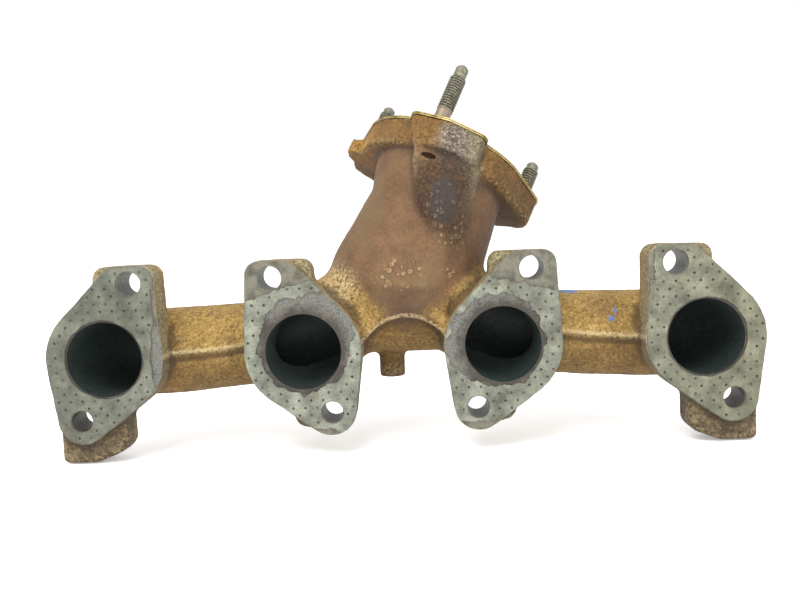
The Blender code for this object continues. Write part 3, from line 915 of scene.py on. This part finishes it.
def stud_tree():
    """Turns a grid of unit size into a threaded stud that stands along Z, closed at both ends."""
    numbers = ("Radius", "Pitch", "Depth", "Buried", "Plain", "Length", "Dog radius", "Dog length")
    graph, given = new_tree("threaded_stud", {**{key: "NodeSocketFloat" for key in numbers},
                                              "Finish": "NodeSocketMaterial"})
    x, y, _ = graph.axes(graph.add("GeometryNodeInputPosition"))
    height = y * (given["Length"] + given["Buried"]) - given["Buried"]
    turn = (height / given["Pitch"] - x).calc("FRACT")
    groove = ((turn - 0.5).calc("ABSOLUTE") * 2.6 - 0.25).calc("MINIMUM", 1.0).calc("MAXIMUM", 0.0)
    thread_end = given["Length"] - given["Dog length"]
    threaded = graph.rise(height, given["Plain"], given["Plain"] + 0.8)
    threaded = threaded * (1 - graph.rise(height, thread_end - 0.6, thread_end))
    radius = given["Radius"] - groove * given["Depth"] * threaded
    radius = radius - (1 - graph.rise(height, given["Plain"] - 0.6, given["Plain"])) * 0.3
    dog = graph.rise(height, thread_end - 0.9, thread_end + 0.5)
    radius = radius + (given["Dog radius"] - radius) * dog
    nose = graph.rise(height, given["Length"] - 1.6, given["Length"] + 0.4)
    radius = radius * (1 - nose * 0.55)
    ends = (y > 0.0005) * (y < 0.9995)
    radius = radius * ends
    angle = x * (2 * math.pi)
    place = graph.add("ShaderNodeCombineXYZ", [angle.calc("COSINE") * radius,
                                               angle.calc("SINE") * radius, height])
    dirt = graph.add("GeometryNodeStoreNamedAttribute",
                     {"Geometry": given["Geometry"], "Name": "hollow",
                      "Value": groove * threaded}, data_type="FLOAT", domain="POINT")
    bare = 1 - graph.rise(height, given["Plain"] - 0.3, given["Plain"] + 0.3)
    bare = graph.add("GeometryNodeStoreNamedAttribute",
                     {"Geometry": dirt, "Name": "shank", "Value": bare},
                     data_type="FLOAT", domain="POINT")
    shaped = graph.add("GeometryNodeSetPosition", {"Geometry": bare, "Position": place})
    closed = graph.add("GeometryNodeMergeByDistance", {"Geometry": shaped, "Distance": 0.001})
    whole = graph.add("GeometryNodeRealizeInstances", [closed])
    end_tree(graph, graph.add("GeometryNodeSetMaterial",
                              {"Geometry": whole, "Material": given["Finish"]}))
    return graph.tree


# ------------------------------------------------------------------ pieces

def delivered(thing, node, sharp):
    """Move a piece to the row frame, shade it, and let it stand for its CAD node."""
    thing.data.transform(TO_ROW_FRAME)
    thing.data.shade_smooth()
    thing.data.set_sharp_from_angle(angle=math.radians(sharp))
    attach(thing, "root")
    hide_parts(node)
    return thing


def passage(side, points, early):
    """Centre line of a passage, begun early in front of the port face."""
    start = Vector((0.0, -early, 0.0))
    path = [Vector((side * x, y, z)) for x, y, z in points]
    return [path[0] + start, *path[1:]]


def throat_path():
    """Centre line of the neck's bore, from the collector's floor to above the sealing face."""
    return [Vector((0.0, 35.0, 16.0)), Vector((1.0, 36.0, 25.0)), Vector((7.9, 37.0, 41.4)),
            Vector((16.4, 37.5, 60.8)), on_outlet(NECK_SHIFT, 0.0, -2.7),
            on_outlet(NECK_SHIFT, 0.0, 5.3)]


def ridge(surface, points, radius, sink):
    """Raised line along the front of a surface, through (x, z) points."""
    path = []
    for x, z in points:
        place, normal, _, _ = surface.ray_cast(Vector((x, 3.0, z)), Vector((0.0, 1.0, 0.0)))
        path.append(place - normal * sink)
    return pipe("ridge", path, [radius] * len(path), 12)


def apron():
    """Skin between the two middle ports, hanging from the neck down to an arched lip."""
    rings = []
    for step in range(21):
        x = -21.0 + 2.0 * step
        lip = lip_height(x)
        front = 37.0 - math.sqrt(36.4 ** 2 - (x - 2.0) ** 2)
        rings.append([Vector((x, 5.6, lip)), Vector((x, 30.0, lip)), Vector((x, 30.0, 30.0)),
                      Vector((x, front - 0.3, 30.0)), Vector((x, front * 0.9 + 0.6, 24.0)),
                      Vector((x, front * 0.6 + 2.6, lip + 4.5))])
    return solid("apron", rings)


def blend_group(skin):
    """Weigh the points that lie in the big cast fillets: round the neck's foot and the web."""
    group = skin.vertex_groups.new(name="blend")
    for vertex in skin.data.vertices:
        x, y, z = vertex.co
        foot = limited((z - lip_height(x) - 3.0) / 6.0) * limited((46.0 - z) / 12.0)
        foot *= limited((62.0 - abs(x)) / 10.0)
        foot *= limited((y - 2.0) / 4.0 - abs(x) * 0.1 + 2.4)
        flange = abs(x) > 21.0 and y < 19.5
        web = Vector((x - 31.0, (y - 9.0) * 1.2, (z - 60.0) * 0.6)).length
        weight = max(0.0 if flange else foot, 1.0 - limited((web - 9.0) / 4.0))
        if weight > 0.01:
            group.add([vertex.index], weight, "REPLACE")


def cast_details():
    """What the mould adds to the plain casting: parting ridges, the lip and its shoulders."""
    casting = cad_copy("manifold_casting")
    mesh = bmesh.new()
    mesh.from_mesh(casting.data)
    surface = BVHTree.FromBMesh(mesh)
    mesh.free()
    parts = [casting]
    for line in PARTING_LINES:
        parts.append(ridge(surface, line, RIDGE_RADIUS, RIDGE_SINK))
    parts.append(apron())
    for side in (-1, 1):
        shoulder = [Vector((side * x, y, z)) for x, y, z in ((4, 26, 27), (26, 25, 17), (42, 22, 5))]
        parts.append(pipe("shoulder", shoulder, (23.0, 17.5, 14.0)))
    return parts


def stock_and_plugs():
    """Stock that is machined away later, and plugs in what is bored and drilled later."""
    parts = []
    for side in (-1, 1):
        for path, bores in ((OUTER_PASSAGE, OUTER_BORES), (INNER_PASSAGE, INNER_BORES)):
            parts.append(pipe("plug", passage(side, path, 8.0), [r + 2.0 for r in bores]))
    parts.append(pipe("plug", throat_path(), [r + 2.0 for r in THROAT_RADII]))
    for port in range(4):
        parts.append(port_prism("stock", port_outline(), port, -4.0, 4.0))
        for x, z, radius in bolt_holes(port):
            parts.append(rod("plug", Vector((x, -3.0, z)), Vector((x, 16.8, z)), radius + 1.5))
    parts.append(outlet_prism("stock", outlet_outline(), -0.8, 4.0))
    for a, b, *_ in STUDS.values():
        parts.append(rod("plug", on_outlet(a, b, -OUTLET_DEPTH + 0.2), on_outlet(a, b, 3.0), 5.2))
    return parts


def casting_skin(settings, finish):
    """Outer skin of the casting without passages or holes, soft-edged as it left the mould."""
    skin = joined("casting", cast_details() + stock_and_plugs())
    mend = skin.modifiers.new("mesh", "REMESH")
    mend.mode = "VOXEL"
    mend.voxel_size = settings.grain / MM
    mend.adaptivity = 0.0
    soften = skin.modifiers.new("soften", "SMOOTH")
    soften.factor = 0.5
    soften.iterations = settings.soften
    settled(skin)
    blend_group(skin)
    blend = skin.modifiers.new("blend", "SMOOTH")
    blend.factor = 0.5
    blend.iterations = settings.blend
    blend.vertex_group = "blend"
    settled(skin)
    skin.vertex_groups.clear()
    return grown(skin, skin_tree(), wave=settings.wave / MM, finish=finish)


def faces_to_mill(finish):
    """Blocks in front of the port faces and above the sealing face."""
    front = solid("mill", [[Vector((x, y, z)) for x, z in ((-170, -60), (170, -60), (170, 50),
                                                          (-170, 50))] for y in (-20.0, 0.0)], finish)
    above = outlet_prism("mill", [(-60, -60), (60, -60), (60, 60), (-60, 60)], 0.0, 15.0, finish)
    return [front, above]


def passages(finish):
    """Everything that gas flows through, as one tool."""
    tools = []
    for side in (-1, 1):
        for path, bores in ((OUTER_PASSAGE, OUTER_BORES), (INNER_PASSAGE, INNER_BORES)):
            tools.append(pipe("passage", passage(side, path, 10.0), bores, 48, finish))
    tools.append(pipe("throat", throat_path(), THROAT_RADII, 64, finish))
    return combine(tools[0], tools[1:], "UNION")


def holes(finish):
    """Through holes of the port flanges and blind holes of the studs."""
    tools = []
    for port in range(4):
        for x, z, radius in bolt_holes(port):
            tools.append(rod("hole", Vector((x, -3.0, z)), Vector((x, 26.0, z)), radius, 40, finish))
    for a, b, *_ in STUDS.values():
        tools.append(rod("hole", on_outlet(a, b, -OUTLET_DEPTH + 0.6), on_outlet(a, b, 3.0),
                         STUD_RADIUS + 0.3, 24, finish))
    return tools


def casting_mark(finish):
    """Small tilted oval hollow on the web, under the front block."""
    mesh = bmesh.new()
    bmesh.ops.create_uvsphere(mesh, u_segments=24, v_segments=16, radius=1.0)
    turn = Matrix.Rotation(math.radians(20.0), 4, "Y")
    mesh.transform(Matrix.Translation((14.7, 5.4, 83.1)) @ turn @ Matrix.Diagonal((3.7, 2.2, 1.4, 1.0)))
    return placed("mark", mesh, finish)


# The hollowness stored here drives the painted shade in hollows and the painted highlights on edges and
# rims of the rusty iron.
def mark_hollows(thing, reach_steps=20, gain=0.30):
    """Store how hollow each point lies: 0.5 on flat skin, more in corners, less on edges."""
    data = thing.data
    count = len(data.vertices)
    place = np.empty(count * 3)
    data.vertices.foreach_get("co", place)
    place = place.reshape(-1, 3)
    normal = np.empty(count * 3, np.float32)
    data.vertex_normals.foreach_get("vector", normal)
    ends = np.empty(len(data.edges) * 2, np.int64)
    data.edges.foreach_get("vertices", ends)
    first, second = ends.reshape(-1, 2).T
    share = np.maximum(np.bincount(first, minlength=count) + np.bincount(second, minlength=count), 1)
    soft = place.copy()
    for _ in range(reach_steps):
        total = np.stack([np.bincount(first, soft[second, axis], count)
                          + np.bincount(second, soft[first, axis], count) for axis in range(3)], 1)
        soft = total / share[:, None]
    depth = ((soft - place) * normal.reshape(-1, 3)).sum(1)
    values = np.clip(0.5 + gain * depth, 0.0, 1.0).astype(np.float32)
    data.attributes.new("hollow", "FLOAT", "POINT").data.foreach_set("value", values)


class MANIFOLD_OT_casting(bpy.types.Operator):
    """Build the casting: cast skin, milled faces, passages and drilled holes"""
    bl_idname = "manifold.casting"
    bl_label = "Casting"

    def execute(self, context):
        settings = context.scene.manifold.casting
        rust = rusty_iron(settings)
        body = casting_skin(settings, rust)
        combine(body, [casting_mark(rust)], "DIFFERENCE")
        combine(body, faces_to_mill(machined_iron()), "DIFFERENCE")
        combine(body, [passages(soot())], "DIFFERENCE")
        combine(body, holes(drilled_iron()), "DIFFERENCE")
        body.name = "manifold_body"
        mark_hollows(body)
        delivered(body, "manifold_casting", 50)
        return {"FINISHED"}


# Torn-away parts of each port gasket: outlines in millimetres from the port's middle
TEARS = [
    [[(23.0, 16.0), (22.5, 30.0), (34.0, 30.0), (34.0, -22.0), (22.0, -14.0), (20.0, -2.0), (21.5, 8.0)]],
    [lobes([(0, 21), (25, 25), (40, 33), (62, 33), (80, 25.5), (95, 24), (112, 25.5), (135, 22.5),
            (160, 20.6), (180, 20), (225, 19.3), (270, 19.3), (315, 19.8), (340, 20.3)]),
     [(-34.0, 20.5), (-10.3, 27.5), (6.0, 32.0), (6.0, 48.0), (-34.0, 48.0)],
     [(-12.0, -35.0), (8.0, -34.0), (17.0, -36.0), (26.0, -28.0), (26.0, -48.0), (-12.0, -48.0)]],
    [lobes([(0, 19.3), (45, 20.3), (70, 22), (90, 23), (120, 24), (150, 25), (180, 25.8), (200, 24.8),
            (220, 22), (250, 19.6), (300, 19.3)]),
     [(-6.0, 32.0), (-4.0, 29.5), (12.0, 25.5), (34.0, 20.5), (34.0, 48.0), (-6.0, 48.0)],
     [(-32.0, -33.0), (0.0, -33.5), (8.0, -35.0), (8.0, -48.0), (-32.0, -48.0)]],
    [[(-34.0, 25.0), (-21.5, 25.0), (-22.5, 41.0), (-34.0, 41.0)]],
]


def port_gasket(port, settings, facing, dark, tree):
    """Perforated gasket of one port, torn where it stuck to the engine when it came off."""
    thickness = settings.thickness / MM
    sheet = port_prism(f"port_gasket_sheet_{port + 1}", ragged(port_outline(-0.25), 1.5, 0.3, port),
                       port, -thickness, 0.0, facing)
    x = PORT_X[port]
    side = PORT_SIDE[port]
    rim = ragged(lobes([(angle, PORT_RADIUS + 0.9) for angle in range(0, 360, 6)]), 2.0, 0.5, port)
    tools = [port_prism("bore", rim, port, -6.0, 6.0, facing)]
    for u, z, radius in (EAR_HOLE, TOE_HOLE):
        tools.append(rod("hole", Vector((x + side * u, -6.0, z)), Vector((x + side * u, 6.0, z)),
                         radius + 0.4, 32, facing))
    for index, tear in enumerate(TEARS[port]):
        outline = ragged(tear, 0.7, 1.6, 10.0 * port + index)
        tools.append(port_prism("tear", outline, port, -6.0, 6.0, facing, side=1))
    combine(sheet, tools, "DIFFERENCE", overlap=True)
    return grown(sheet, tree, pitch=settings.pitch / MM, row=settings.row / MM,
                 radius=settings.hole / MM, middle=x, front=-thickness, facing=facing, dark=dark)


class MANIFOLD_OT_port_gaskets(bpy.types.Operator):
    """Build the four perforated port gaskets"""
    bl_idname = "manifold.port_gaskets"
    bl_label = "Port gaskets"

    def execute(self, context):
        settings = context.scene.manifold.gaskets
        facing, dark, tree = gasket_facing(settings), pinhole_dark(), perforation_tree()
        for port in range(4):
            sheet = port_gasket(port, settings, facing, dark, tree)
            delivered(sheet, f"port_gasket_{port + 1}", 35)
        return {"FINISHED"}


def sealing_bead(sheet, sides=96):
    """Add the raised bead round the bore of the outlet gasket."""
    bead = bmesh.new()
    bead.from_mesh(sheet.data)
    loops = []
    for out, height in ((1.05, 1.38), (1.9, 1.75), (2.7, 1.38)):
        ring = []
        for index in range(sides):
            angle = 2 * math.pi * index / sides
            radius = OUTLET_BORE_RADIUS + out
            ring.append(bead.verts.new(on_outlet(NECK_SHIFT + radius * math.cos(angle),
                                                 radius * math.sin(angle), height)))
        loops.append(ring)
    for inner, outer in zip(loops, loops[1:] + loops[:1]):
        for index in range(sides):
            after = (index + 1) % sides
            bead.faces.new((inner[index], outer[index], outer[after], inner[after]))
    bmesh.ops.recalc_face_normals(bead, faces=bead.faces)
    bead.to_mesh(sheet.data)
    bead.free()


class MANIFOLD_OT_outlet_gasket(bpy.types.Operator):
    """Build the layered metal gasket on the outlet"""
    bl_idname = "manifold.outlet_gasket"
    bl_label = "Outlet gasket"

    def execute(self, context):
        gold = golden_sheet()
        layers = [(0.22, -0.5), (0.3, -0.6), (0.7, -0.6), (0.78, -0.2), (0.9, -0.2), (0.98, -0.6),
                  (1.38, -0.6), (1.45, -0.45)]
        sheet = solid("outlet_gasket_sheet",
                      [[on_outlet(a, b, height) for a, b in outlet_outline(inset)]
                       for height, inset in layers], gold)
        middle = [on_outlet(NECK_SHIFT, 0.0, height) for height in (-4.0, 6.0)]
        tools = [rod("hole", *middle, OUTLET_BORE_RADIUS + 1.0, 96, gold)]
        for a, b, *_ in STUDS.values():
            tools.append(rod("hole", on_outlet(a, b, -4.0), on_outlet(a, b, 6.0),
                             STUD_RADIUS + 0.5, 32, gold))
        combine(sheet, tools, "DIFFERENCE")
        sealing_bead(sheet)
        delivered(sheet, "outlet_gasket", 35)
        return {"FINISHED"}


class MANIFOLD_OT_studs(bpy.types.Operator):
    """Build the three threaded outlet studs"""
    bl_idname = "manifold.studs"
    bl_label = "Outlet studs"

    def execute(self, context):
        settings = context.scene.manifold.studs
        steel, tree = stud_steel(), stud_tree()
        pitch = settings.pitch / MM
        for node, (a, b, length, plain, dog) in STUDS.items():
            buried = OUTLET_DEPTH - 1.0
            rows = round((length + buried) / pitch * 8)
            mesh = bmesh.new()
            bmesh.ops.create_grid(mesh, x_segments=28, y_segments=rows, size=0.5)
            mesh.transform(Matrix.Translation((0.5, 0.5, 0.0)))
            piece = grown(placed(node + "_thread", mesh), tree, radius=STUD_RADIUS, pitch=pitch,
                          depth=settings.depth / MM, buried=buried, plain=plain, length=length,
                          dog_radius=2.9, dog_length=dog, finish=steel)
            piece.data.transform(OUTLET_FRAME @ Matrix.Translation((a, b, 0.0)))
            delivered(piece, node, 60)
        return {"FINISHED"}


# ------------------------------------------------------------------ stage

def soft_box(name, place, target, size, power):
    """Large soft lamp that looks at a point."""
    light = bpy.data.lights.new(name, "AREA")
    light.shape = "RECTANGLE"
    light.size, light.size_y = size
    light.energy = power
    lamp = bpy.data.objects.new(name, light)
    bpy.context.scene.collection.objects.link(lamp)
    lamp.location = place
    lamp.rotation_euler = (Vector(target) - Vector(place)).to_track_quat("-Z", "Y").to_euler()


def pale_floor():
    """Floor of pale paper that glows a little, which keeps the shadow on it faint."""
    mesh = bmesh.new()
    bmesh.ops.create_grid(mesh, x_segments=1, y_segments=1, size=6.0)
    mesh.transform(Matrix.Translation((0.0, 0.0, -0.0005)))
    paper = Finish("pale_floor", roughness=0.9, emission_color=(1.0, 1.0, 1.0),
                   emission_strength=0.28)
    placed("floor", mesh, paper.paint((0.97, 0.97, 0.97)))


def camera_turn():
    """Rotation of the camera from its yaw, pitch and roll."""
    yaw, pitch, roll = (math.radians(angle) for angle in (CAMERA_YAW, CAMERA_PITCH, CAMERA_ROLL))
    ahead = Vector((math.sin(yaw) * math.cos(pitch), math.cos(yaw) * math.cos(pitch),
                    -math.sin(pitch)))
    level = Vector((math.cos(yaw), -math.sin(yaw), 0.0))
    upward = level.cross(ahead)
    right = level * math.cos(roll) - upward * math.sin(roll)
    top = level * math.sin(roll) + upward * math.cos(roll)
    return Matrix((right, top, -ahead)).transposed().to_4x4()


class MANIFOLD_OT_stage(bpy.types.Operator):
    """Build the pale floor, the soft light and the camera"""
    bl_idname = "manifold.stage"
    bl_label = "Stage"

    def execute(self, context):
        settings = context.scene.manifold.stage
        pale_floor()
        sky = bpy.data.worlds.new("pale_room")
        sky.use_nodes = True
        ground = sky.node_tree.nodes["Background"]
        ground.inputs["Color"].default_value = (1.0, 1.0, 1.0, 1.0)
        ground.inputs["Strength"].default_value = 1.05
        context.scene.world = sky
        context.scene.view_settings.view_transform = "Standard"
        middle = (0.0, 0.0, 0.06)
        soft_box("key_light", (-0.35, -0.75, 1.15), middle, (0.9, 0.7), KEY_POWER * settings.light)
        soft_box("fill_light", (0.8, -0.8, 0.45), middle, (0.7, 0.7), FILL_POWER * settings.light)
        lens = bpy.data.cameras.new("camera")
        lens.lens = settings.lens
        lens.sensor_width = 36.0
        lens.clip_start = 0.01
        camera = bpy.data.objects.new("camera", lens)
        context.scene.collection.objects.link(camera)
        camera.matrix_world = Matrix.Translation(CAMERA_PLACE) @ camera_turn()
        context.scene.camera = camera
        return {"FINISHED"}


# ------------------------------------------------------------------ panel and registration

STEPS = (MANIFOLD_OT_casting, MANIFOLD_OT_port_gaskets, MANIFOLD_OT_outlet_gasket,
         MANIFOLD_OT_studs, MANIFOLD_OT_stage)


class MANIFOLD_PT_panel(bpy.types.Panel):
    """Lists the steps that build the manifold, with their settings"""
    bl_idname = "MANIFOLD_PT_panel"
    bl_label = "Exhaust manifold"
    bl_space_type = "VIEW_3D"
    bl_region_type = "UI"
    bl_category = "Manifold"

    def draw(self, context):
        for step in STEPS:
            self.layout.operator(step.bl_idname)
        for group in ("casting", "gaskets", "studs", "stage"):
            box = self.layout.box()
            box.label(text=group.capitalize())
            settings = getattr(context.scene.manifold, group)
            for key in settings.__annotations__:
                box.prop(settings, key)


CLASSES = (CastingSettings, GasketSettings, StudSettings, StageSettings, ManifoldSettings,
           *STEPS, MANIFOLD_PT_panel)


def register():
    for item in CLASSES:
        bpy.utils.register_class(item)
    bpy.types.Scene.manifold = bpy.props.PointerProperty(type=ManifoldSettings)


def unregister():
    del bpy.types.Scene.manifold
    for item in reversed(CLASSES):
        bpy.utils.unregister_class(item)


def main():
    register()
    bpy.ops.manifold.casting()
    bpy.ops.manifold.port_gaskets()
    bpy.ops.manifold.outlet_gasket()
    bpy.ops.manifold.studs()
    bpy.ops.manifold.stage()


if __name__ == "__main__":
    main()
